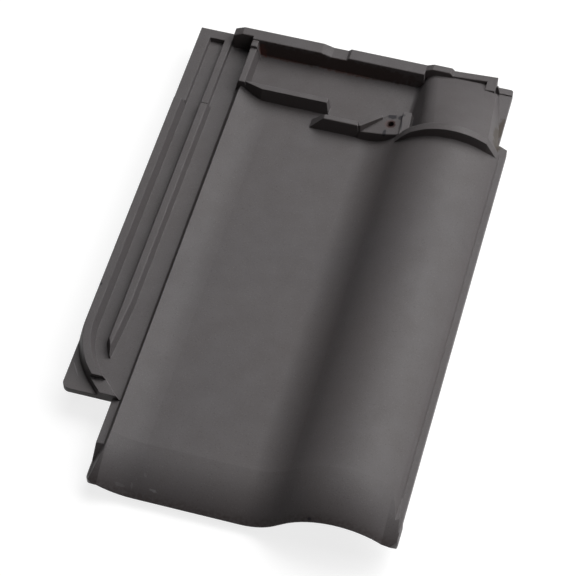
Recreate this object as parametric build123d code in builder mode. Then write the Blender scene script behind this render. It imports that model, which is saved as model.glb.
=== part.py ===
"""Interlocking clay roof tile with one roll: a pressed and fired single piece.

Looking up the roof from the tail, the side lock with its two ribs is on the left, a flat pan
lies beside it, and the roll runs along the right edge, whose thin ledge covers the side lock of
the next tile. The head carries a raised rib, a trough and the low walls that keep wind-driven
rain out. Two nibs under the head hang behind the batten, and a rib under the tail seals the lap.

Plan dimensions are measured from the tile's outer left corner at the tail, or where their names
say so from the head, the right edge or the roll's crest. Heights, called levels, are measured
from the flat flange of the side lock. The finished tile is placed with its
nibs and its tail rib on the floor and its middle over the origin.
"""
import os
from math import atan, cos, degrees, radians, sin, tan

from build123d import *

# Overall size
tile_length = 460.0
tile_width = 290.0
floor_level = -26.0  # where the nibs and the tail rib rest
edge_radius = 1.0  # rounding of the upper edges

# Pan and roll, across the tile
shell_thickness = 10.0
overlap = 0.3  # by which neighbouring shapes reach into each other
crease_x = 52.0  # top edge where the side lock ends and the pan begins
crease_level = 3.5
band_radius = 60.0  # the pan's left border rises in this arc
band_slope = 29.0
crest_from_right = 46.5
valley_radius = 40.0
flank_slope = 43.0
flank_length = 10.7
roll_radius = 60.0
roll_end_slope = 36.0
roll_edge_length = 3.5
edge_lap = 4.0  # degrees by which the edge reaches back into the roll
shoulder_radius = 9.0
shoulder_end_slope = 85.0

# Ledge along the roll's right edge
ledge_level = 8.0
ledge_bottom_level = -1.0
ledge_depth = 14.0
ledge_tail_level = -9.0
ledge_corner_radius = 9.0

# Rounded nose at the tail
nose_length = 44.0
nose_radius = 73.0
nose_tip = 1.2
nose_undercut_slope = 58.0
nose_outer_slope = 13.0
nose_steps = 5
nose_lift = 0.06  # by which the nose's arc starts above the sheet
tail_rib_length = 24.0
tail_corner_x = 41.5
tail_corner_radius = 9.0
ledge_fade_length = 38.0  # where the roll begins to spread over the ledge
ledge_fade_level = 12.5

# Strip beside the pan, below the side lock
strip_x = 42.6
strip_level = -2.0
strip_tail_level = -10.8
strip_tail_y = 3.0
strip_ramp_start = 31.0
strip_ramp_end = 19.0
strip_thickness = 8.0
strip_tail_thickness = 4.0
strip_corner_radius = 6.0

# Side lock: a sloping channel floor with two ribs
lock_tail_y = 72.0
lock_floor_head_level = -4.5
lock_floor_tail_level = -1.5
lock_plate_thickness = 5.5
lock_corner_radius = 6.0
flange_width = 11.0
rib_start_from_head = 83.0
rib_lap = 2.0  # by which the flange reaches under the ribs and past the tile's edges
rib_draft = 20.0
outer_rib_side_x = -2.0  # foot of the outer flank, cut off flush at the tile's edge
outer_rib_width = 13.0
outer_rib_height = 9.0
outer_rib_bend_y = 135.0
outer_rib_bend_radius = 75.0
outer_rib_bend_angle = 45.0
outer_rib_notch_y = 84.5
outer_rib_end_x = 31.5
outer_rib_low_height = 4.5
middle_rib_x = 22.0
middle_rib_width = 11.0
middle_rib_height = 8.0
middle_rib_end_y = 107.5
middle_rib_end_x = 28.0
middle_rib_left_y = 121.0  # where the rib's left side begins to run to its end
middle_rib_right_y = 160.0
middle_rib_tip_width = 1.5
head_rib_x = 23.0
head_rib_width = 7.6

# Head
trough_step = 0.6  # trough floor above the pan
head_plate_thickness = 9.0
head_flange_x = 31.0
head_flange_depth = 10.0
flange_draft = 10.0

# Rib across the head, seen from the tail: notch, bump and raised right end
top_rib_left_x = 32.0
top_rib_right_from_crest = 23.0
top_rib_depth = 11.6
top_rib_level = 13.0
top_rib_draft = 8.0
top_rib_corner_width = 8.0
top_rib_corner_drop = 4.0
top_rib_notch_start_x = 112.0
top_rib_notch_end_x = 137.0
top_rib_notch_left_side = 9.0
top_rib_notch_right_side = 2.5
top_rib_notch_depth = 2.6
top_rib_bump_start_from_crest = -39.5
top_rib_bump_end_from_crest = -15.5
top_rib_bump_left_side = 6.0
top_rib_bump_right_side = 2.5
top_rib_bump_height = 2.8
top_rib_right_rise = 3.0
top_rib_left_setback = 3.0
top_rib_right_setback = 4.6
top_rib_block_from_crest = 14.7
top_rib_block_depth = 16.6

# Water walls
wall_level = 9.5
wall_width = 9.5
wall_draft = 9.0
border_left_foot_x = 47.2
border_left_top_x = 50.2
border_right_top_x = 56.0
border_right_foot_x = 58.2
border_tail_from_head = 58.0
border_step_from_head = 19.0
border_head_level = 12.0
first_wall_from_head = 63.6
wall_lap = 13.4  # by which the first wall reaches over the second
first_wall_bend_x = 72.0
first_wall_rise = 7.5
second_wall_from_head = 81.0
second_wall_length = 45.0
second_wall_end_from_crest = -79.5
second_wall_start_slope = 48.0

# Arc wall over the roll, as points across the tile from the roll's crest
arc_wall_from_head = 87.8
arc_wall_depth = 8.0
arc_wall_front_depth = 1.3
arc_wall_left_foot = (-51.5, 2.0)
arc_wall_left_top = (-41.0, 18.3)
arc_wall_crest = (0.0, 39.4)
arc_wall_right_top = (31.0, 31.0)
arc_wall_right_foot = (41.0, 13.0)

# Nail pad, which rises to the right, with outlines in plan from the nail hole
nail_hole_from_crest = -54.9
nail_hole_from_head = 68.5
nail_hole_radius = 2.5
pad_level = 8.3  # at the nail hole
pad_slope = 10.0
pad_reach = 40.0
pad_draft = 9.0
pad_outline = (
    (-27.6, -12.9), (-3.6, -14.1), (8.9, -13.1), (14.0, -15.0), (14.0, 13.8), (-6.0, 12.0),
    (-9.0, 7.0),
)
pad_ridge = ((-31.6, -11.5), (-23.6, -11.9), (-5.6, 4.0), (-7.6, 9.5), (-12.6, 7.5))
pad_rib_level = 11.5
pad_rib = ((7.4, -16.5), (20.0, -16.5), (17.4, 16.5), (4.8, 15.6))

# Saddle between the arc wall and the head rib, at its tail and at its head
saddle_tail_foot_from_crest = -45.0
saddle_tail_slope = 62.0
saddle_tail_flank = 27.0
saddle_tail_radius = 25.0
saddle_tail_top_slope = 25.0
saddle_tail_right_top = (30.5, 30.5)
saddle_tail_right_foot = (40.5, 10.0)
saddle_head_foot_from_crest = -45.9
saddle_head_slope = 55.0
saddle_head_flank = 6.0
saddle_head_radius = 14.0
saddle_head_top_slope = 6.0
saddle_head_right_top = (24.5, 10.6)
saddle_head_right_foot = (26.5, 2.0)
saddle_foot_radius = 5.0
saddle_side_thickness = 20.0

# Hollow under the saddle: its right end on the roll, and its head end from the roll's crest
hollow_right_angle = 30.0
hollow_left_foot = (-32.5, -26.0)
hollow_left_top = (-21.5, 0.0)
hollow_crest = (-3.5, 0.8)
hollow_right_top = (14.5, 0.0)
hollow_right_foot = (16.5, -26.0)

# Flange on the right of the head
right_flange_level = 2.0
right_flange_strip_level = 2.9
right_flange_strip_depth = 6.3
right_flange_from_crest = 37.5
right_flange_bottom_level = -6.0
right_flange_corner = 2.5
right_step_from_head = 70.0
right_step_rise = 3.0
right_step_from_crest = 39.8

# Nibs under the head
nib_left_x = 86.0
nib_right_from_right = 100.0
nib_width = 34.0
nib_depth = 16.0
nib_from_head = 36.0

# Rib under the roll's right flank, for the outer groove of the next tile's side lock
cover_rib_from_crest = 10.5
cover_rib_width = 6.0
cover_rib_level = 3.0
cover_rib_start_y = 40.0

# Sizes that follow from the ones above
crest_x = tile_width - crest_from_right
flank_run = (valley_radius + roll_radius) * sin(radians(flank_slope))
flat_end_x = crest_x - flank_run - flank_length * cos(radians(flank_slope))
pan_level = crease_level - band_radius * (1 - cos(radians(band_slope)))
trough_level = pan_level + trough_step
head_bottom_level = trough_level - head_plate_thickness
tail_rib_depth = pan_level - shell_thickness - floor_level
nose_drop = nose_radius - (nose_radius**2 - nose_length**2) ** 0.5
lock_head_y = tile_length - head_flange_depth
lock_length = lock_head_y - lock_tail_y
lock_slope = degrees(atan((lock_floor_tail_level - lock_floor_head_level) / lock_length))
rib_start_y = tile_length - rib_start_from_head
arc_wall_y = tile_length - arc_wall_from_head
roll_end_y = arc_wall_y + arc_wall_depth
trough_plate_y = roll_end_y - overlap
root_level = pan_level - 3 * overlap
hollow_radius = roll_radius - shell_thickness - overlap
first_wall_y = tile_length - first_wall_from_head
first_wall_back_y = first_wall_y + wall_width
second_wall_y = tile_length - second_wall_from_head
second_wall_end_x = crest_x + second_wall_end_from_crest
second_wall_start_x = second_wall_end_x - second_wall_length
first_wall_end_x = second_wall_start_x + wall_lap
nail_hole_x = crest_x + nail_hole_from_crest
nail_hole_y = tile_length - nail_hole_from_head
top_rib_y = tile_length - top_rib_depth
top_rib_right_x = crest_x + top_rib_right_from_crest
top_rib_block_x = crest_x + top_rib_block_from_crest
top_rib_block_y = tile_length - top_rib_block_depth
top_rib_bump_start_x = crest_x + top_rib_bump_start_from_crest
top_rib_bump_end_x = crest_x + top_rib_bump_end_from_crest
notch_floor_level = top_rib_level - top_rib_notch_depth
bump_level = top_rib_level + top_rib_bump_height
saddle_head_y = top_rib_y + top_rib_right_setback + 2
right_flange_x = crest_x + right_flange_from_crest
right_step_x = crest_x + right_step_from_crest
right_step_y = tile_length - right_step_from_head
nib_right_x = tile_width - nib_right_from_right
nib_y = tile_length - nib_from_head


def across(y, lowered=0.0):
    """Plane across the tile at y, facing the tail, with x from the left edge and y as the level."""
    return Plane(
        origin=(-tile_width / 2, y - tile_length / 2, -floor_level - lowered),
        x_dir=(1, 0, 0),
        z_dir=(0, -1, 0),
    )


def along(x):
    """Plane along the tile at x, facing right, with x from the tail and y as the level."""
    return Plane(
        origin=(x - tile_width / 2, -tile_length / 2, -floor_level),
        x_dir=(0, 1, 0),
        z_dir=(1, 0, 0),
    )


def plan(level):
    """Plane at a level, with x from the left edge and y from the tail."""
    return Plane(origin=(-tile_width / 2, -tile_length / 2, level - floor_level))


def lock_plan():
    """Plane of the sloping channel floor of the side lock, with x and y as in the plan."""
    level = lock_floor_tail_level + lock_tail_y * tan(radians(lock_slope))
    return Plane(
        origin=(-tile_width / 2, -tile_length / 2, level - floor_level),
        x_dir=(1, 0, 0),
        z_dir=(0, sin(radians(lock_slope)), cos(radians(lock_slope))),
    )


# Top line of the pan and the roll, from the crease to the end of the roll's right flank
with BuildLine() as pan_and_roll:
    band = JernArc(
        start=(crease_x, crease_level),
        tangent=(cos(radians(band_slope)), -sin(radians(band_slope))),
        radius=band_radius,
        arc_size=band_slope,
    )
    flat = Line(band @ 1, (flat_end_x, pan_level))
    valley = JernArc(start=flat @ 1, tangent=(1, 0), radius=valley_radius, arc_size=flank_slope)
    flank = PolarLine(valley @ 1, flank_length, direction=valley % 1)
    roll = JernArc(
        start=flank @ 1,
        tangent=flank % 1,
        radius=roll_radius,
        arc_size=-(flank_slope + roll_end_slope),
    )
roll_center = roll.arc_center
roll_end = roll @ 1

# Edge of the roll, with the shoulder that falls to the ledge
with BuildLine() as roll_edge:
    straight = PolarLine(roll_end, roll_edge_length, direction=roll % 1)
    shoulder = JernArc(
        start=straight @ 1,
        tangent=straight % 1,
        radius=shoulder_radius,
        arc_size=-(shoulder_end_slope - roll_end_slope),
    )
ledge_x = (shoulder @ 1).X


def roll_point(angle, radius):
    """Point about the roll's centre, at an angle to the right of straight up."""
    return roll_center + Vector(radius * sin(radians(angle)), radius * cos(radians(angle)))


def sheet_face(depth):
    """Face between the line of the pan and the roll and its copy offset downwards."""
    with BuildSketch() as face:
        with BuildLine():
            offset(pan_and_roll.line, amount=depth, side=Side.RIGHT, mode=Mode.ADD)
        make_face()
    return face.sketch


def edge_face(bottom_level):
    """Face under the shoulder of the roll, down to a level."""
    with BuildSketch() as face:
        with BuildLine():
            add(roll_edge.line)
            Polyline(
                shoulder @ 1,
                (ledge_x, bottom_level),
                (ledge_x - ledge_depth, bottom_level),
                roll_point(roll_end_slope - edge_lap, roll_radius - shell_thickness / 2),
                roll_end,
            )
        make_face()
    return face.sketch


def nose_face(height):
    """Face over the line of the nose surface, or under it where the height is negative."""
    with BuildSketch() as face:
        with BuildLine():
            left = Line((crease_x - tile_width / 2, crease_level), (crease_x, crease_level))
            add(pan_and_roll.line)
            right = PolarLine(roll_end, tile_width / 2, angle=-nose_outer_slope)
            Polyline(
                right @ 1,
                ((right @ 1).X, (right @ 1).Y + height),
                ((left @ 0).X, (right @ 1).Y + height),
                left @ 0,
            )
        make_face()
    return face.sketch


def arch_face(left_foot, left_top, crest, right_top, right_foot):
    """Face under an arc through three points, all from the crest, with straight flanks."""
    with BuildSketch() as face:
        with BuildLine():
            Polyline(right_top, right_foot, left_foot, left_top)
            ThreePointArc(left_top, crest, right_top)
        make_face()
    return Pos(crest_x, 0) * face.sketch


def saddle_face(foot_x, slope, flank, radius, top_slope, right_top, right_foot):
    """Face under the saddle: a hollow foot, a flank, a rounded shoulder and a flat arc."""
    with BuildSketch() as face:
        with BuildLine():
            foot = JernArc(
                start=(foot_x, trough_level),
                tangent=(1, 0),
                radius=saddle_foot_radius,
                arc_size=slope,
            )
            side = PolarLine(foot @ 1, flank, direction=foot % 1)
            shoulder = JernArc(
                start=side @ 1, tangent=side % 1, radius=radius, arc_size=top_slope - slope
            )
            TangentArc(shoulder @ 1, right_top, tangent=shoulder % 1)
            Polyline(
                right_top,
                right_foot,
                (right_foot[0], right_flange_bottom_level),
                (foot_x, right_flange_bottom_level),
                foot @ 0,
            )
        make_face()
    return Pos(crest_x, 0) * face.sketch


def outer_rib_face():
    """Foot of the lock's outer rib: straight, then in an arc, then slanting to the lock's tail."""
    with BuildSketch() as face:
        with BuildLine():
            with BuildLine(mode=Mode.PRIVATE) as side:
                straight = Line(
                    (outer_rib_side_x, rib_start_y), (outer_rib_side_x, outer_rib_bend_y)
                )
                bend = JernArc(
                    start=straight @ 1,
                    tangent=(0, -1),
                    radius=outer_rib_bend_radius,
                    arc_size=outer_rib_bend_angle,
                )
                PolarLine(bend @ 1, outer_rib_bend_radius / 2, direction=bend % 1)
            offset(side.line, amount=outer_rib_width, side=Side.LEFT, mode=Mode.ADD)
        make_face()
    return face.sketch


def upward(face):
    """Whether a face looks up."""
    return face.normal_at().Z > 0.98


with BuildPart() as strip:
    # Strip beside the pan, with its ramp and its rounded corner at the tail
    with BuildSketch(along(strip_x)):
        Polygon(
            (strip_tail_y, strip_tail_level),
            (strip_ramp_end, strip_tail_level),
            (strip_ramp_start, strip_level),
            (lock_tail_y, strip_level),
            (lock_tail_y, strip_level - strip_thickness),
            (strip_ramp_start, strip_level - strip_thickness),
            (strip_ramp_end, strip_tail_level - strip_tail_thickness),
            (strip_tail_y, strip_tail_level - strip_tail_thickness),
            align=None,
        )
    extrude(amount=crease_x - strip_x)
    tail_edges = strip.edges().filter_by(Axis.Z).group_by(Axis.Y)[0]
    fillet(tail_edges.sort_by(Axis.X)[0], radius=strip_corner_radius)


with BuildPart() as middle_rib:
    # Middle rib of the side lock, which narrows towards the tail, laid flat to be rounded
    with BuildSketch():
        Polygon(
            (middle_rib_x, rib_start_y),
            (middle_rib_x, middle_rib_left_y),
            (middle_rib_end_x, middle_rib_end_y),
            (middle_rib_end_x + middle_rib_tip_width, middle_rib_end_y),
            (middle_rib_x + middle_rib_width, middle_rib_right_y),
            (middle_rib_x + middle_rib_width, rib_start_y),
            align=None,
        )
    extrude(amount=middle_rib_height, taper=rib_draft * 0.8)
    fillet(middle_rib.faces().sort_by(Axis.Z)[-1].edges(), radius=edge_radius)


with BuildPart() as lock_ribs:
    # Outer rib, lower from its bend on to the tail end of the lock
    with BuildSketch(lock_plan()):
        add(outer_rib_face())
    extrude(amount=outer_rib_height, taper=rib_draft)
    with BuildSketch(lock_plan().offset(outer_rib_low_height)):
        Rectangle(2 * crease_x, 2 * outer_rib_notch_y)
    extrude(amount=outer_rib_height, mode=Mode.SUBTRACT)
    with BuildSketch(lock_plan()):
        with Locations((outer_rib_end_x, 0)):
            Rectangle(crease_x, 2 * lock_tail_y, align=(Align.MIN, Align.CENTER))
    extrude(amount=outer_rib_height, mode=Mode.SUBTRACT)
    add(lock_plan().location * middle_rib.part)
    # Low middle rib at the head, and the flange around the grooves
    with BuildSketch(lock_plan()):
        with Locations((head_rib_x, rib_start_y)):
            Rectangle(
                head_rib_width, tile_length - rib_start_y, align=(Align.MIN, Align.MIN)
            )
        Polygon(
            (-rib_lap, rib_start_y - rib_lap),
            (flange_width, rib_start_y - rib_lap),
            (flange_width, lock_head_y),
            (head_flange_x, lock_head_y),
            (head_flange_x, tile_length + rib_lap),
            (-rib_lap, tile_length + rib_lap),
            align=None,
        )
    extrude(amount=-lock_floor_head_level, taper=flange_draft)
    # Cut flush with the tile's edges
    with BuildSketch(plan(floor_level)):
        Rectangle(4 * tile_length, 4 * tile_length)
        with Locations((0, lock_tail_y)):
            Rectangle(
                crease_x, tile_length - lock_tail_y, align=(Align.MIN, Align.MIN),
                mode=Mode.SUBTRACT,
            )
    extrude(amount=tile_length, mode=Mode.SUBTRACT)


with BuildPart() as top_rib:
    # Outline across the tile, then a drafted front in three parts, each set back its own way
    with BuildSketch(across(tile_length)):
        Polygon(
            (top_rib_left_x, head_bottom_level),
            (top_rib_left_x, top_rib_level - top_rib_corner_drop),
            (top_rib_left_x + top_rib_corner_width, top_rib_level),
            (top_rib_notch_start_x, top_rib_level),
            (top_rib_notch_start_x + top_rib_notch_left_side, notch_floor_level),
            (top_rib_notch_end_x - top_rib_notch_right_side, notch_floor_level),
            (top_rib_notch_end_x, top_rib_level),
            (top_rib_bump_start_x, top_rib_level),
            (top_rib_bump_start_x + top_rib_bump_left_side, bump_level),
            (top_rib_bump_end_x - top_rib_bump_right_side, bump_level),
            (top_rib_bump_end_x, top_rib_level),
            (top_rib_right_x, top_rib_level + top_rib_right_rise),
            (top_rib_right_x, head_bottom_level),
            align=None,
        )
    extrude(amount=2 * top_rib_depth)
    for start_x, end_x, front_y in (
        (0, border_left_top_x, top_rib_y + top_rib_left_setback),
        (border_left_top_x, top_rib_bump_start_x, top_rib_y),
        (top_rib_bump_start_x, top_rib_block_x, top_rib_y + top_rib_right_setback),
        (top_rib_block_x, tile_width, top_rib_block_y),
    ):
        lean = tan(radians(top_rib_draft))
        with BuildSketch(along(start_x)):
            Polygon(
                (front_y - (top_rib_level - head_bottom_level) * lean, head_bottom_level),
                (front_y, top_rib_level),
                (front_y + top_rib_level * lean, 2 * top_rib_level),
                (tile_length - 3 * top_rib_depth, 2 * top_rib_level),
                (tile_length - 3 * top_rib_depth, head_bottom_level),
                align=None,
            )
        extrude(amount=end_x - start_x, mode=Mode.SUBTRACT)
    # Rounded edges along the rib
    fillet(
        top_rib.faces().filter_by(lambda face: face.normal_at().Z > 0.3).edges().filter_by(
            lambda edge: abs((edge % 0.5).X) > 0.7 and edge.length > 3 * edge_radius
        ),
        radius=edge_radius,
    )


with BuildPart() as border:
    # Left border of the trough, a step higher next to the head rib
    for length, level in (
        (border_tail_from_head, wall_level),
        (border_step_from_head, border_head_level),
    ):
        with BuildSketch(across(tile_length)):
            Polygon(
                (border_left_foot_x, lock_floor_head_level),
                (border_left_top_x, level),
                (border_right_top_x, level),
                (border_right_foot_x, trough_level),
                (border_right_foot_x, lock_floor_head_level),
                align=None,
            )
        extrude(amount=length)
    fillet(border.faces().filter_by(upward).edges(), radius=edge_radius)


with BuildPart() as second_wall:
    with BuildSketch(plan(root_level)):
        with Locations((second_wall_start_x, second_wall_y)):
            Rectangle(second_wall_length, wall_width, align=(Align.MIN, Align.MIN))
    extrude(amount=wall_level - root_level, taper=wall_draft)
    # Its left end slopes down to the pan
    with BuildSketch(across(first_wall_back_y)):
        Polygon(
            (second_wall_start_x, root_level),
            (
                second_wall_start_x + 2 * wall_level / tan(radians(second_wall_start_slope)),
                root_level + 2 * wall_level,
            ),
            (second_wall_start_x - wall_width, root_level + 2 * wall_level),
            (second_wall_start_x - wall_width, root_level),
            align=None,
        )
    extrude(amount=2 * wall_width + first_wall_back_y - first_wall_y, both=True,
            mode=Mode.SUBTRACT)
    fillet(second_wall.faces().filter_by(upward).edges(), radius=edge_radius)


with BuildPart() as nail_pad:
    # Wedge that rises to the right, cut to the pad's outline
    rise = pad_reach * tan(radians(pad_slope))
    with BuildSketch(across(tile_length)):
        with Locations((nail_hole_x, 0)):
            Polygon(
                (-pad_reach, root_level),
                (pad_reach, root_level),
                (pad_reach, pad_level + rise),
                (-pad_reach, pad_level - rise),
                align=None,
            )
    extrude(amount=tile_length)
    with BuildSketch(plan(root_level)):
        with Locations((nail_hole_x, nail_hole_y)):
            Polygon(*pad_outline, align=None)
    extrude(amount=2 * wall_level - root_level, taper=pad_draft, mode=Mode.INTERSECT)
    fillet(nail_pad.faces().sort_by(Axis.Z)[-1].edges(), radius=edge_radius)


with BuildPart() as tile:
    # Sheet of the pan and the roll, up to the arc wall
    with BuildSketch(across(roll_end_y)):
        add(sheet_face(shell_thickness))
    extrude(amount=roll_end_y)
    # Sheet of the pan alone, on to the first wall
    with BuildSketch(across(first_wall_back_y)):
        add(sheet_face(shell_thickness))
        with Locations((first_wall_end_x / 2 - 1, 0)):
            Rectangle(first_wall_end_x - 2, tile_width, mode=Mode.INTERSECT)
    extrude(amount=first_wall_back_y - roll_end_y)
    # Rib under the tail
    with BuildSketch(across(tail_rib_length)):
        add(sheet_face(shell_thickness + tail_rib_depth))
    extrude(amount=tail_rib_length)
    # Edge of the roll with its shoulder
    with BuildSketch(across(roll_end_y)):
        add(edge_face(ledge_bottom_level))
    extrude(amount=roll_end_y)

    # Ledge along the roll's edge, thicker and rounded at the tail and stepped at the head
    for bottom_level, length in (
        (ledge_bottom_level, right_step_y),
        (ledge_tail_level, tail_rib_length),
    ):
        with BuildSketch(plan(bottom_level)) as ledge:
            Polygon(
                (ledge_x - ledge_depth, 0),
                (tile_width, 0),
                (tile_width, length),
                (right_step_x, length + right_step_rise),
                (ledge_x - ledge_depth, length + right_step_rise),
                align=None,
            )
            tail_corner = ledge.vertices().sort_by(Axis.Y)[:2].sort_by(Axis.X)[-1]
            fillet(tail_corner, radius=ledge_corner_radius)
        extrude(amount=ledge_level - bottom_level)

    # Roll spreading over the ledge towards the tail
    with BuildSketch(plan(ledge_bottom_level)):
        Polygon(
            (ledge_x - ledge_depth, 0),
            (tile_width - ledge_corner_radius / 2, 0),
            (tile_width, ledge_corner_radius / 2),
            (ledge_x, ledge_fade_length),
            (ledge_x - ledge_depth, ledge_fade_length),
            align=None,
        )
    extrude(amount=ledge_fade_level - ledge_bottom_level)

    # Nose: the top falls in an arc towards the tail, and the face under it slopes back
    for count in range(nose_steps + 2):
        reach = nose_length * count / nose_steps
        lowered = nose_radius - (nose_radius**2 - reach**2) ** 0.5 - nose_lift
        with BuildSketch(across(nose_length - reach, lowered)):
            add(nose_face(tile_width / 2))
    loft(mode=Mode.SUBTRACT)
    for back in (-1.0, tail_rib_length / 2):
        lowered = nose_drop + nose_tip + back * tan(radians(nose_undercut_slope))
        with BuildSketch(across(back, lowered)):
            add(nose_face(-tile_width / 2))
    loft(mode=Mode.SUBTRACT)
    # Rounded left corner of the rib under the tail
    with BuildSketch(plan(floor_level - 1)):
        Rectangle(2 * (tail_corner_x + tail_corner_radius), 2 * tail_corner_radius)
        with Locations((tail_corner_x + tail_corner_radius, tail_corner_radius)):
            Circle(tail_corner_radius, mode=Mode.SUBTRACT)
    extrude(amount=2 * tile_width, mode=Mode.SUBTRACT)

    add(strip.part)

    # Plate of the side lock, rounded at its tail corner
    with BuildSketch(lock_plan()) as lock_plate:
        with Locations((0, lock_tail_y)):
            Rectangle(crease_x, tile_length - lock_tail_y, align=(Align.MIN, Align.MIN))
        fillet(lock_plate.vertices().group_by(Axis.Y)[0].sort_by(Axis.X)[0], lock_corner_radius)
    extrude(amount=-lock_plate_thickness)

    # Plate of the trough at the head
    with BuildSketch(plan(head_bottom_level)):
        Polygon(
            (border_left_foot_x, first_wall_y + 1),
            (first_wall_end_x - 2, first_wall_y + 1),
            (first_wall_end_x - 2, trough_plate_y),
            (crest_x - saddle_side_thickness, trough_plate_y),
            (crest_x - saddle_side_thickness, tile_length),
            (border_left_foot_x, tile_length),
            align=None,
        )
    extrude(amount=head_plate_thickness)

    # Flange on the right of the head, with a raised strip at its end
    for level, length in (
        (right_flange_level, tile_length - right_step_y),
        (right_flange_strip_level, right_flange_strip_depth),
    ):
        with BuildSketch(plan(level)) as right_flange:
            with Locations((right_flange_x, tile_length)):
                Rectangle(2 * top_rib_depth, length, align=(Align.MAX, Align.MAX))
            head_corner = right_flange.vertices().sort_by(Axis.Y)[-2:].sort_by(Axis.X)[-1]
            fillet(head_corner, radius=right_flange_corner)
        extrude(amount=level - right_flange_bottom_level, dir=(0, 0, -1))

    # Saddle between the arc wall and the head rib, cut away beside the rib's right end
    with BuildSketch(across(roll_end_y)):
        add(saddle_face(saddle_tail_foot_from_crest, saddle_tail_slope, saddle_tail_flank,
                        saddle_tail_radius, saddle_tail_top_slope, saddle_tail_right_top,
                        saddle_tail_right_foot))
    with BuildSketch(across(saddle_head_y)):
        add(saddle_face(saddle_head_foot_from_crest, saddle_head_slope, saddle_head_flank,
                        saddle_head_radius, saddle_head_top_slope, saddle_head_right_top,
                        saddle_head_right_foot))
    loft()
    with BuildSketch(plan(right_flange_level)):
        with Locations((top_rib_right_x, top_rib_block_y)):
            Rectangle(wall_width, wall_width, align=(Align.MIN, Align.MIN))
    extrude(amount=top_rib_level, mode=Mode.SUBTRACT)

    # Arc wall over the roll, with a steep front
    for start_y, end_y, drop in (
        (arc_wall_y, arc_wall_y + arc_wall_front_depth, wall_level),
        (arc_wall_y + arc_wall_front_depth, roll_end_y, 0),
    ):
        for y, lowered in ((start_y, drop), (end_y, 0)):
            with BuildSketch(across(y, lowered)):
                add(arch_face(arc_wall_left_foot, arc_wall_left_top, arc_wall_crest,
                              arc_wall_right_top, arc_wall_right_foot))
        loft()

    # Hollow under the arc wall and the saddle, from the underside of the roll on
    with BuildSketch(across(arc_wall_y - overlap)):
        to_crest = Vector(-crest_x, 0)
        left_top = roll_point(-flank_slope, hollow_radius) + to_crest
        left_run = (left_top.Y - floor_level) / tan(radians(flank_slope))
        add(arch_face(
            (left_top.X - left_run, floor_level),
            left_top,
            roll_point(0, hollow_radius) + to_crest,
            roll_point(hollow_right_angle, hollow_radius) + to_crest,
            (ledge_x - ledge_depth - crest_x, floor_level),
        ))
    with BuildSketch(across(top_rib_y)):
        add(arch_face(hollow_left_foot, hollow_left_top, hollow_crest, hollow_right_top,
                      hollow_right_foot))
    loft(mode=Mode.SUBTRACT)

    # First wall, bent back at the border
    with BuildSketch(plan(lock_floor_head_level)):
        Polygon(
            (border_left_foot_x, first_wall_y + first_wall_rise),
            (border_right_foot_x, first_wall_y + first_wall_rise / 2),
            (first_wall_bend_x, first_wall_y),
            (first_wall_end_x, first_wall_y),
            (first_wall_end_x, first_wall_back_y),
            (border_left_foot_x, first_wall_back_y),
            align=None,
        )
    extrude(amount=wall_level - lock_floor_head_level, taper=wall_draft)
    add(second_wall.part)

    # Ridge behind the nail pad and short rib beside it
    for level, points in ((wall_level, pad_ridge), (pad_rib_level, pad_rib)):
        with BuildSketch(plan(root_level)):
            with Locations((nail_hole_x, nail_hole_y)):
                Polygon(*points, align=None)
        extrude(amount=level - root_level, taper=pad_draft)
    add(nail_pad.part)
    add(border.part)
    add(lock_ribs.part)
    add(top_rib.part)

    # Nail hole
    with Locations(plan(head_bottom_level - 1)):
        with Locations((nail_hole_x, nail_hole_y)):
            Cylinder(
                radius=nail_hole_radius,
                height=2 * wall_level - head_bottom_level,
                align=(Align.CENTER, Align.CENTER, Align.MIN),
                mode=Mode.SUBTRACT,
            )

    # Nibs, square to the batten on the tail side and sloping on the other
    for x in (nib_left_x, nib_right_x):
        with BuildSketch(along(x - nib_width / 2)):
            Polygon(
                (nib_y, head_bottom_level),
                (nib_y, floor_level),
                (nib_y + nib_depth / 2, floor_level),
                (nib_y + nib_depth, head_bottom_level),
                align=None,
            )
        extrude(amount=nib_width)

    # Rib under the roll's right flank
    with BuildSketch(plan(cover_rib_level)):
        with Locations((crest_x + cover_rib_from_crest, cover_rib_start_y)):
            Rectangle(
                cover_rib_width, arc_wall_y - cover_rib_start_y, align=(Align.MIN, Align.MIN)
            )
    extrude(until=Until.NEXT)

tile.part.label = "roof_tile"
os.makedirs("parts", exist_ok=True)
export_step(tile.part, "parts/roof_tile.step")
print("volume, litres:", round(tile.part.volume / 1e6, 3))
print("box:", tile.part.bounding_box())
print("solids:", len(tile.part.solids()))
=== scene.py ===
"""Interlocking clay roof tile, fired dark grey, lying on a plain pale floor.

The tile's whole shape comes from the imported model. This scene gives it its fired surface, and
sets the floor, the soft light and the camera. Places on the tile are in metres in the model's
frame: x across from the side lock to the roll, y from the tail to the head, z up from the floor.
"""
from collections import namedtuple
from math import cos, radians, sin

import bpy
from mathutils import Matrix, Vector


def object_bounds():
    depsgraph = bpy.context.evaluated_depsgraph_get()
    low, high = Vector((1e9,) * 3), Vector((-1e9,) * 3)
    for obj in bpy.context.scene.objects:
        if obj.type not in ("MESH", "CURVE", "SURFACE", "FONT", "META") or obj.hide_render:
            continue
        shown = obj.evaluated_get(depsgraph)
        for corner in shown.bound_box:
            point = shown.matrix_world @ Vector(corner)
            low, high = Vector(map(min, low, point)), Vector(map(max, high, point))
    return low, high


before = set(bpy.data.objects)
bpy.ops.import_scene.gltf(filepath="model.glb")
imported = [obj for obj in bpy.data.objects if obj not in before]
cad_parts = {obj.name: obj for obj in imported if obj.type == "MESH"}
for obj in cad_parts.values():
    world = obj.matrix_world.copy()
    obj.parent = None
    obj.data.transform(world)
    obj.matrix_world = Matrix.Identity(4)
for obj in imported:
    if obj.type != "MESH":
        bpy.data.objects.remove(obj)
cad_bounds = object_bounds()

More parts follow.
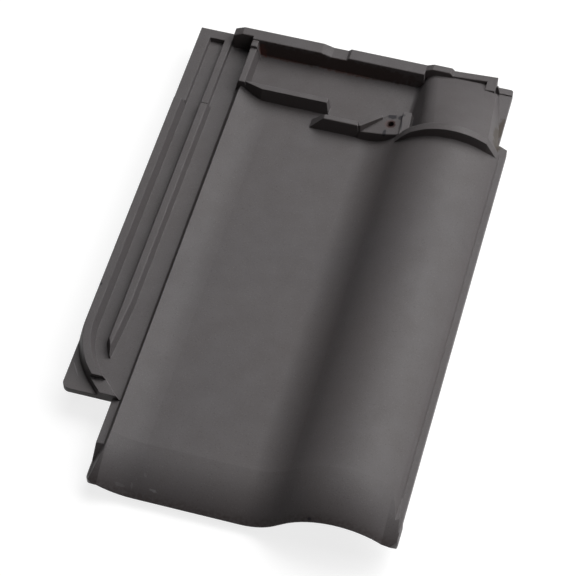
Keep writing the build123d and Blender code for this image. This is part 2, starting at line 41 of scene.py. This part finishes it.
# Camera, solved from the tile's straight edges: metres, degrees, and millimetres of its lens
CAMERA_PLACE = (0.28564, -1.0427, 1.55176)
CAMERA_AZIMUTH = 15.4525
CAMERA_ELEVATION = 55.1839
CAMERA_LENS = 142.909
CAMERA_SENSOR = 36.0

# Floor: its side, what it reflects, and how much of its white is its own
FLOOR_SIZE = 12.0
FLOOR_COLOUR = (0.3, 0.3, 0.3, 1)
FLOOR_WHITE = 0.8

# Even weak light from all sides
SKY_COLOUR = (1, 1, 1, 1)
SKY_STRENGTH = 0.04

# Colours of the fired surface, some of them used as painted shade
SLIP = (0.083, 0.0765, 0.079, 1)
SLIP_PALE = (0.104, 0.098, 0.102, 1)
SLIP_WARM = (0.088, 0.0775, 0.076, 1)
WORN_EDGE = (0.15, 0.142, 0.142, 1)
# Dark slip for the fine dark grains, also used as painted shade at the tail and in the trough
THIN_SLIP_AND_SHADE = (0.034, 0.024, 0.022, 1)
BARE_CLAY = (0.16, 0.045, 0.03, 1)
# Dark red painted shade inside the nail hole
DARK_RED_SHADE = (0.022, 0.006, 0.004, 1)
# Brown-tinted painted shade for the face of the head rib
BROWN_TINTED_SHADE = (0.028, 0.012, 0.008, 1)
DARK_BROWN_PATCH = (0.045, 0.034, 0.025, 1)
# Near-black chips and nicks, also used as painted shade in the crease beside the nail pad
CHIP_AND_CREASE_SHADE = (0.018, 0.017, 0.021, 1)
SCUFF = (0.19, 0.185, 0.19, 1)

# Share of a layer's colour that shows where the layer is full
PATCH_SHARE = 0.45
GRAIN_SHARE = 0.35
# Shares of the painted shade on faces turned to the tail and of the tail's edge band, which is
# partly wear and partly painted shade
TAIL_FACE_SHARE = 0.5
TAIL_BAND_SHARE = 0.6
EDGE_WEAR_SHARE = 0.55

# Where a layer begins and where it is full: by the grain's value, by how far a face is turned
# to the tail, and by the place along the tile, whose tail is the model's lowest y
PALE_GRAIN = (0.6, 0.72)
DARK_GRAIN = (0.4, 0.28)
# The shade on faces turned to the tail is painted, and the band at the tail's edge is partly
# painted shade
TAIL_FACES = (-0.2, -0.9)
TAIL_Y = cad_bounds[0][1]
TAIL_BAND = (TAIL_Y + 0.008, TAIL_Y + 0.0005)

# Patterns: features to the metre and contrast
CLOUDS = {"Scale": 9.0, "Contrast": 1.4}
PATCHES = {"Scale": 60.0, "Contrast": 1.2}
WAVES = {"Scale": 25.0, "Contrast": 1.0}
SPECKLES = {"Scale": 450.0, "Contrast": 4.0}
GRAIN_SCALE = 900.0
MARK_GRAIN_SCALE = 260.0

# Edge of a mark in shares of its size: where it ends, where it is full, and the grain's reach
MARK_END = 1.0
MARK_FULL = 0.6
MARK_GRAIN_REACH = 4.0

# Worn edges: width in metres, the cosine of how far the softened edge turns where wear begins
# and is full, and the grain that breaks the wear up
EDGE_WEAR_WIDTH = 0.0016
EDGE_WEAR_TURN = (0.985, 0.86)
EDGE_BREAKS = (0.42, 0.62)
EDGE_BREAK_SCALE = 90.0

# Softened edges, waves from the press and grain, in metres, with the strength of their bumps
EDGE_SOFTNESS = 0.0009
WAVE_DEPTH = 0.0005
WAVE_STRENGTH = 0.35
GRAIN_DEPTH = 0.00012
GRAIN_STRENGTH = 0.5
EDGE_SAMPLES = 6

# Gloss: roughness where the slip is dark and where it is pale, and its reflection
ROUGH_SLIP = 0.62
SMOOTH_SLIP = 0.5
SLIP_REFLECTION = 0.31

# Places that several marks share
RIB_FACE_Y = 0.2165
RIB_FOOT_Z = 0.0228
NAIL_HOLE = (0.0436, 0.1615, 0.0335)
PAD_TOP_Z = 0.0343

# Marks of firing and handling, and some painted shade. Each spot has its centre, its half sizes
# in metres, how ragged it is, and how far it is turned in plan, in radians
Mark = namedtuple("Mark", "colour strength spots")
Spot = namedtuple("Spot", "centre size ragged turn", defaults=(0,))
MARKS = (
    # Painted shade, tinted brown, on the inner face of the head rib, which is turned to the tail
    Mark(BROWN_TINTED_SHADE, 0.6, (
        Spot((-0.062, RIB_FACE_Y, 0.03), (0.05, 0.003, 0.015), ragged=0.3),
        Spot((0.0, RIB_FACE_Y, 0.03), (0.07, 0.003, 0.013), ragged=0.3),
    )),
    # Bare reddish clay at the left end of that face, and a faint reddish painted shade in the
    # corner along its foot
    Mark(BARE_CLAY, 0.3, (
        Spot((-0.086, RIB_FACE_Y, 0.027), (0.006, 0.003, 0.009), ragged=0.5),
    )),
    Mark(BARE_CLAY, 0.13, (
        Spot((-0.066, RIB_FACE_Y, RIB_FOOT_Z), (0.022, 0.003, 0.0022), ragged=0.6),
        Spot((-0.012, RIB_FACE_Y, RIB_FOOT_Z), (0.030, 0.003, 0.0018), ragged=0.6),
    )),
    # Rim of the nail hole: a reddish ring, a pale one inside it, and dark red painted shade in
    # the hole and over its mouth
    Mark(BARE_CLAY, 0.4, (Spot(NAIL_HOLE, (0.0058, 0.0058, 0.003), ragged=0.15),)),
    Mark(SLIP_PALE, 0.9, (Spot(NAIL_HOLE, (0.0049, 0.0049, 0.003), ragged=0.15),)),
    Mark(DARK_RED_SHADE, 0.95, (
        Spot((0.0438, 0.1613, 0.0335), (0.0049, 0.0049, 0.012), ragged=0.2),
    )),
    # Darker brown patch on the right flange and at the saddle's foot beside it
    Mark(DARK_BROWN_PATCH, 0.9, (
        Spot((0.134, 0.166, 0.036), (0.0065, 0.018, 0.014), ragged=0.25),
        Spot((0.135, 0.186, 0.0275), (0.005, 0.014, 0.01), ragged=0.25),
    )),
    # Slight painted shade on the floor of the recessed trough
    Mark(THIN_SLIP_AND_SHADE, 0.16, (Spot((-0.03, 0.188, 0.0226), (0.085, 0.034, 0.003), ragged=0.1),)),
    # Chips at the nail pad's back edge, painted shade in the crease along its side by the rib,
    # and nicks on the outer lock rib and on the roll's tail
    Mark(CHIP_AND_CREASE_SHADE, 0.9, (
        Spot((0.0432, 0.1705, PAD_TOP_Z), (0.0048, 0.0042, 0.005), ragged=0.25, turn=0.3),
        Spot((0.0515, 0.1702, PAD_TOP_Z), (0.0054, 0.0028, 0.005), ragged=0.25, turn=-0.5),
        # Painted shade: a thin dark line in the crease between the pad and the rib
        Spot((0.0529, 0.1605, PAD_TOP_Z), (0.0011, 0.012, 0.005), ragged=0.15, turn=-0.15),
        Spot((0.0403, 0.1505, PAD_TOP_Z), (0.002, 0.005, 0.004), ragged=0.2),
        Spot((-0.1429, -0.061, 0.0325), (0.0012, 0.0022, 0.003), ragged=0.4),
        Spot((0.077, -0.2284, 0.0386), (0.0016, 0.0012, 0.003), ragged=0.4, turn=0.2),
    )),
    # Scratch on the side lock's plate, and the clearest scuff on the rounded tail
    Mark(SCUFF, 0.45, (
        Spot((-0.139, -0.139, 0.0244), (0.0006, 0.0095, 0.002), ragged=0.2, turn=-0.56),
        Spot((-0.0495, -0.2222, 0.0122), (0.0042, 0.0011, 0.003), ragged=0.6, turn=0.15),
    )),
    # Faint scuffs beside it
    Mark(SCUFF, 0.18, (
        Spot((-0.0765, -0.2242, 0.012), (0.006, 0.0012, 0.003), ragged=0.7, turn=0.1),
        Spot((-0.0665, -0.2228, 0.012), (0.004, 0.0009, 0.003), ragged=0.7, turn=1.3),
        Spot((-0.0585, -0.213, 0.0165), (0.003, 0.001, 0.003), ragged=0.7, turn=1.0),
    )),
)


def set_input(tree, socket, value):
    """Gives a node's input a plain value, or joins another node's output to it."""
    if isinstance(value, bpy.types.NodeSocket):
        tree.links.new(value, socket)
    else:
        socket.default_value = value


def add_node(tree, kind, inputs=None, **settings):
    """Node with its settings and its inputs."""
    node = tree.nodes.new(kind)
    for name, value in settings.items():
        setattr(node, name, value)
    for name, value in (inputs or {}).items():
        set_input(tree, node.inputs[name], value)
    return node


def ramp(tree, value, low, high, bottom=0.0, top=1.0):
    """Value turned smoothly from bottom to top between low and high."""
    node = add_node(
        tree,
        "ShaderNodeMapRange",
        {"Value": value, "From Min": low, "From Max": high, "To Min": bottom, "To Max": top},
        interpolation_type="SMOOTHSTEP",
    )
    return node.outputs["Result"]


def work(tree, operation, first, second=0.0):
    """Result of one sum on two values."""
    node = add_node(tree, "ShaderNodeMath", {0: first, 1: second}, operation=operation)
    return node.outputs["Value"]


def blend_colour(tree, amount, first, second):
    """First colour turning to the second with the amount."""
    # By number, because the node has inputs of the same names for each kind of value
    amount_input, first_input, second_input, colour_output = 0, 6, 7, 2
    node = add_node(tree, "ShaderNodeMix", data_type="RGBA")
    set_input(tree, node.inputs[amount_input], amount)
    set_input(tree, node.inputs[first_input], first)
    set_input(tree, node.inputs[second_input], second)
    return node.outputs[colour_output]


def cover(tree, colour, layer, amount, share):
    """Colour with a layer's colour over it, where the amount says, at the layer's share."""
    return blend_colour(tree, work(tree, "MULTIPLY", amount, share), colour, layer)


def new_group(name, inputs, outputs):
    """Empty group of shader nodes with its named inputs and outputs."""
    group = bpy.data.node_groups.new(name, "ShaderNodeTree")
    for socket_name, (kind, value) in inputs.items():
        socket = group.interface.new_socket(socket_name, in_out="INPUT", socket_type=kind)
        socket.default_value = value
    for socket_name, kind in outputs.items():
        group.interface.new_socket(socket_name, in_out="OUTPUT", socket_type=kind)
    entry = group.nodes.new("NodeGroupInput").outputs
    return group, entry, group.nodes.new("NodeGroupOutput")


def use_group(tree, group, inputs):
    """Amount that a group of nodes, placed in a tree, gives for the values it gets there."""
    return add_node(tree, "ShaderNodeGroup", inputs, node_tree=group).outputs["Amount"]


def mottle_group():
    """Cloudy changes of the surface at a chosen size, from 0 to 1."""
    group, entry, out = new_group(
        "mottle",
        {
            "Place": ("NodeSocketVector", (0, 0, 0)),
            "Scale": ("NodeSocketFloat", 20.0),
            "Contrast": ("NodeSocketFloat", 1.0),
        },
        {"Amount": "NodeSocketFloat"},
    )
    cloud = add_node(
        group,
        "ShaderNodeTexNoise",
        {"Vector": entry["Place"], "Scale": entry["Scale"], "Detail": 4.0, "Roughness": 0.55},
    ).outputs["Fac"]
    spread = work(group, "MULTIPLY", work(group, "SUBTRACT", cloud, 0.5), entry["Contrast"])
    amount = add_node(
        group, "ShaderNodeMath", {0: spread, 1: 0.5}, operation="ADD", use_clamp=True
    )
    group.links.new(amount.outputs["Value"], out.inputs["Amount"])
    return group


def mark_group():
    """Ragged mark round a place: 1 inside, fading to 0 at its size."""
    group, entry, out = new_group(
        "mark",
        {
            "Place": ("NodeSocketVector", (0, 0, 0)),
            "Centre": ("NodeSocketVector", (0, 0, 0)),
            "Turn": ("NodeSocketVector", (0, 0, 0)),
            "Size": ("NodeSocketVector", (0.01, 0.01, 0.01)),
            "Ragged": ("NodeSocketFloat", 0.5),
            "Grain Scale": ("NodeSocketFloat", 300.0),
        },
        {"Amount": "NodeSocketFloat"},
    )
    shifted = add_node(
        group,
        "ShaderNodeVectorMath",
        {0: entry["Place"], 1: entry["Centre"]},
        operation="SUBTRACT",
    ).outputs["Vector"]
    turned = add_node(
        group,
        "ShaderNodeVectorRotate",
        {"Vector": shifted, "Rotation": entry["Turn"]},
        rotation_type="EULER_XYZ",
    ).outputs["Vector"]
    scaled = add_node(
        group, "ShaderNodeVectorMath", {0: turned, 1: entry["Size"]}, operation="DIVIDE"
    ).outputs["Vector"]
    reach = add_node(group, "ShaderNodeVectorMath", {0: scaled}, operation="LENGTH")
    grain = add_node(
        group,
        "ShaderNodeTexNoise",
        {"Vector": entry["Place"], "Scale": entry["Grain Scale"], "Detail": 3.0},
    ).outputs["Fac"]
    push = work(group, "MULTIPLY", work(group, "SUBTRACT", grain, 0.5), entry["Ragged"])
    push = work(group, "MULTIPLY", push, MARK_GRAIN_REACH)
    edge = work(group, "ADD", reach.outputs["Value"], push)
    group.links.new(ramp(group, edge, MARK_END, MARK_FULL), out.inputs["Amount"])
    return group


def worn_edge_group():
    """Wear along outer edges, broken up by the surface's grain."""
    group, entry, out = new_group(
        "worn_edge",
        {
            "Place": ("NodeSocketVector", (0, 0, 0)),
            "Width": ("NodeSocketFloat", 0.001),
            "Break Scale": ("NodeSocketFloat", 100.0),
        },
        {"Amount": "NodeSocketFloat"},
    )
    rounded = add_node(
        group, "ShaderNodeBevel", {"Radius": entry["Width"]}, samples=EDGE_SAMPLES
    )
    facing = add_node(
        group,
        "ShaderNodeVectorMath",
        {
            0: rounded.outputs["Normal"],
            1: group.nodes.new("ShaderNodeNewGeometry").outputs["Normal"],
        },
        operation="DOT_PRODUCT",
    ).outputs["Value"]
    breaks = add_node(
        group,
        "ShaderNodeTexNoise",
        {"Vector": entry["Place"], "Scale": entry["Break Scale"], "Detail": 5.0},
    ).outputs["Fac"]
    wear = ramp(group, facing, *EDGE_WEAR_TURN)
    amount = work(group, "MULTIPLY", wear, ramp(group, breaks, *EDGE_BREAKS))
    group.links.new(amount, out.inputs["Amount"])
    return group


def new_material(name):
    """Material with an empty node tree and its output node."""
    material = bpy.data.materials.new(name)
    material.use_nodes = True
    material.node_tree.nodes.clear()
    output = material.node_tree.nodes.new("ShaderNodeOutputMaterial")
    return material, material.node_tree, output


def slip_colour(tree, clouds, patches, grain):
    """Colour of the slip: cloudy at two sizes, with fine pale and dark grains."""
    colour = blend_colour(tree, clouds, SLIP, SLIP_WARM)
    colour = cover(tree, colour, SLIP_PALE, patches, PATCH_SHARE)
    colour = cover(tree, colour, WORN_EDGE, ramp(tree, grain, *PALE_GRAIN), GRAIN_SHARE)
    return cover(tree, colour, THIN_SLIP_AND_SHADE, ramp(tree, grain, *DARK_GRAIN), GRAIN_SHARE)


def tail_shade_and_wear(tree, colour, place, speckles):
    """Colour with painted shade on faces turned to the tail, and a speckled dark band at its edge
    that is partly wear and partly painted shade.
    """
    normal = tree.nodes.new("ShaderNodeTexCoord").outputs["Normal"]
    turned = add_node(tree, "ShaderNodeSeparateXYZ", {"Vector": normal}).outputs["Y"]
    colour = cover(tree, colour, THIN_SLIP_AND_SHADE, ramp(tree, turned, *TAIL_FACES), TAIL_FACE_SHARE)
    along = add_node(tree, "ShaderNodeSeparateXYZ", {"Vector": place}).outputs["Y"]
    band = work(tree, "MULTIPLY", ramp(tree, along, *TAIL_BAND), speckles)
    return cover(tree, colour, THIN_SLIP_AND_SHADE, band, TAIL_BAND_SHARE)


def marked(tree, colour, place, mark_nodes):
    """Colour with the marks of firing and handling over it, some of them painted shade."""
    for mark in MARKS:
        amount = 0.0
        for spot in mark.spots:
            shape = use_group(
                tree,
                mark_nodes,
                {
                    "Place": place,
                    "Centre": spot.centre,
                    "Turn": (0, 0, spot.turn),
                    "Size": spot.size,
                    "Ragged": spot.ragged,
                    "Grain Scale": MARK_GRAIN_SCALE,
                },
            )
            amount = work(tree, "MAXIMUM", shape, amount)
        colour = cover(tree, colour, mark.colour, amount, mark.strength)
    return colour


def clay_normal(tree, waves, grain):
    """Slow waves from the press with grain over them, on softened edges."""
    soft = add_node(tree, "ShaderNodeBevel", {"Radius": EDGE_SOFTNESS}, samples=EDGE_SAMPLES)
    wavy = add_node(
        tree,
        "ShaderNodeBump",
        {
            "Strength": WAVE_STRENGTH,
            "Distance": WAVE_DEPTH,
            "Height": waves,
            "Normal": soft.outputs["Normal"],
        },
    )
    grainy = add_node(
        tree,
        "ShaderNodeBump",
        {
            "Strength": GRAIN_STRENGTH,
            "Distance": GRAIN_DEPTH,
            "Height": grain,
            "Normal": wavy.outputs["Normal"],
        },
    )
    return grainy.outputs["Normal"]


def fired_clay():
    """Dark grey fired clay under a thin matt slip, worn at its edges and marked by handling, with
    shade painted into its colour at the tail, in the trough, the nail hole and a few creases.
    """
    material, tree, output = new_material("fired_clay")
    mottle = mottle_group()
    place = tree.nodes.new("ShaderNodeTexCoord").outputs["Object"]
    clouds = use_group(tree, mottle, {"Place": place, **CLOUDS})
    patches = use_group(tree, mottle, {"Place": place, **PATCHES})
    waves = use_group(tree, mottle, {"Place": place, **WAVES})
    speckles = use_group(tree, mottle, {"Place": place, **SPECKLES})
    grain = add_node(
        tree, "ShaderNodeTexNoise", {"Vector": place, "Scale": GRAIN_SCALE, "Detail": 3.0}
    ).outputs["Fac"]
    wear = use_group(
        tree,
        worn_edge_group(),
        {"Place": place, "Width": EDGE_WEAR_WIDTH, "Break Scale": EDGE_BREAK_SCALE},
    )

    colour = slip_colour(tree, clouds, patches, grain)
    # Painted shade on faces turned to the tail, and a speckled dark band at the tail's edge
    colour = tail_shade_and_wear(tree, colour, place, speckles)
    colour = cover(tree, colour, WORN_EDGE, wear, EDGE_WEAR_SHARE)
    colour = marked(tree, colour, place, mark_group())

    clay = add_node(
        tree,
        "ShaderNodeBsdfPrincipled",
        {
            "Base Color": colour,
            "Roughness": ramp(tree, patches, 0.0, 1.0, ROUGH_SLIP, SMOOTH_SLIP),
            "Specular IOR Level": SLIP_REFLECTION,
            "Normal": clay_normal(tree, waves, grain),
        },
    )
    tree.links.new(clay.outputs["BSDF"], output.inputs["Surface"])
    return material


def floor_white():
    """Pale material, white to the eye and in reflections, that keeps the tile's shadow."""
    material, tree, output = new_material("floor_white")
    plain = add_node(tree, "ShaderNodeBsdfDiffuse", {"Color": FLOOR_COLOUR})
    rays = tree.nodes.new("ShaderNodeLightPath").outputs
    seen = work(tree, "MAXIMUM", rays["Is Camera Ray"], rays["Is Glossy Ray"])
    seen = work(tree, "MAXIMUM", seen, rays["Is Transmission Ray"])
    glow = add_node(
        tree, "ShaderNodeEmission", {"Strength": work(tree, "MULTIPLY", seen, FLOOR_WHITE)}
    )
    both = add_node(
        tree, "ShaderNodeAddShader", {0: plain.outputs["BSDF"], 1: glow.outputs["Emission"]}
    )
    tree.links.new(both.outputs["Shader"], output.inputs["Surface"])
    return material


def white_floor():
    """Plain pale floor under the tile."""
    mesh = bpy.data.meshes.new("floor")
    half = FLOOR_SIZE / 2
    corners = [(-half, -half, 0), (half, -half, 0), (half, half, 0), (-half, half, 0)]
    mesh.from_pydata(corners, [], [(0, 1, 2, 3)])
    mesh.materials.append(floor_white())
    floor = bpy.data.objects.new("floor", mesh)
    bpy.context.scene.collection.objects.link(floor)


def direction(azimuth, elevation):
    """Direction from the tile, in degrees round it from its tail and up from the floor."""
    around, rise = radians(azimuth), radians(elevation)
    return Vector((sin(around) * cos(rise), -cos(around) * cos(rise), sin(rise)))


def area_light(name, azimuth, elevation, distance, size, power):
    """Square soft light that looks at the tile."""
    data = bpy.data.lights.new(name, "AREA")
    data.shape = "SQUARE"
    data.size = size
    data.energy = power
    lamp = bpy.data.objects.new(name, data)
    back = direction(azimuth, elevation)
    lamp.location = back * distance
    lamp.rotation_euler = back.to_track_quat("Z", "Y").to_euler()
    bpy.context.scene.collection.objects.link(lamp)


def sky():
    """Even weak light from all sides."""
    world = bpy.data.worlds.new("studio")
    world.use_nodes = True
    background = world.node_tree.nodes["Background"].inputs
    background["Color"].default_value = SKY_COLOUR
    background["Strength"].default_value = SKY_STRENGTH
    bpy.context.scene.world = world


def photo_camera():
    """Camera at the photograph's place and angle."""
    back = direction(CAMERA_AZIMUTH, CAMERA_ELEVATION)
    right = direction(CAMERA_AZIMUTH + 90, 0)
    turn = Matrix((right, back.cross(right), back)).transposed().to_4x4()
    data = bpy.data.cameras.new("photo_camera")
    data.lens = CAMERA_LENS
    data.sensor_width = CAMERA_SENSOR
    camera = bpy.data.objects.new("photo_camera", data)
    camera.matrix_world = Matrix.Translation(CAMERA_PLACE) @ turn
    bpy.context.scene.collection.objects.link(camera)
    bpy.context.scene.camera = camera


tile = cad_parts["roof_tile"]
tile.data.materials.clear()
tile.data.materials.append(fired_clay())

photo_camera()
white_floor()
area_light("head_window", azimuth=175, elevation=55, distance=6.0, size=4.2, power=150)
area_light("corner_window", azimuth=147, elevation=46, distance=6.0, size=4.2, power=153)
area_light("side_window", azimuth=102, elevation=44, distance=1.1, size=0.9, power=7.8)
sky()
bpy.context.scene.view_settings.view_transform = "Standard"
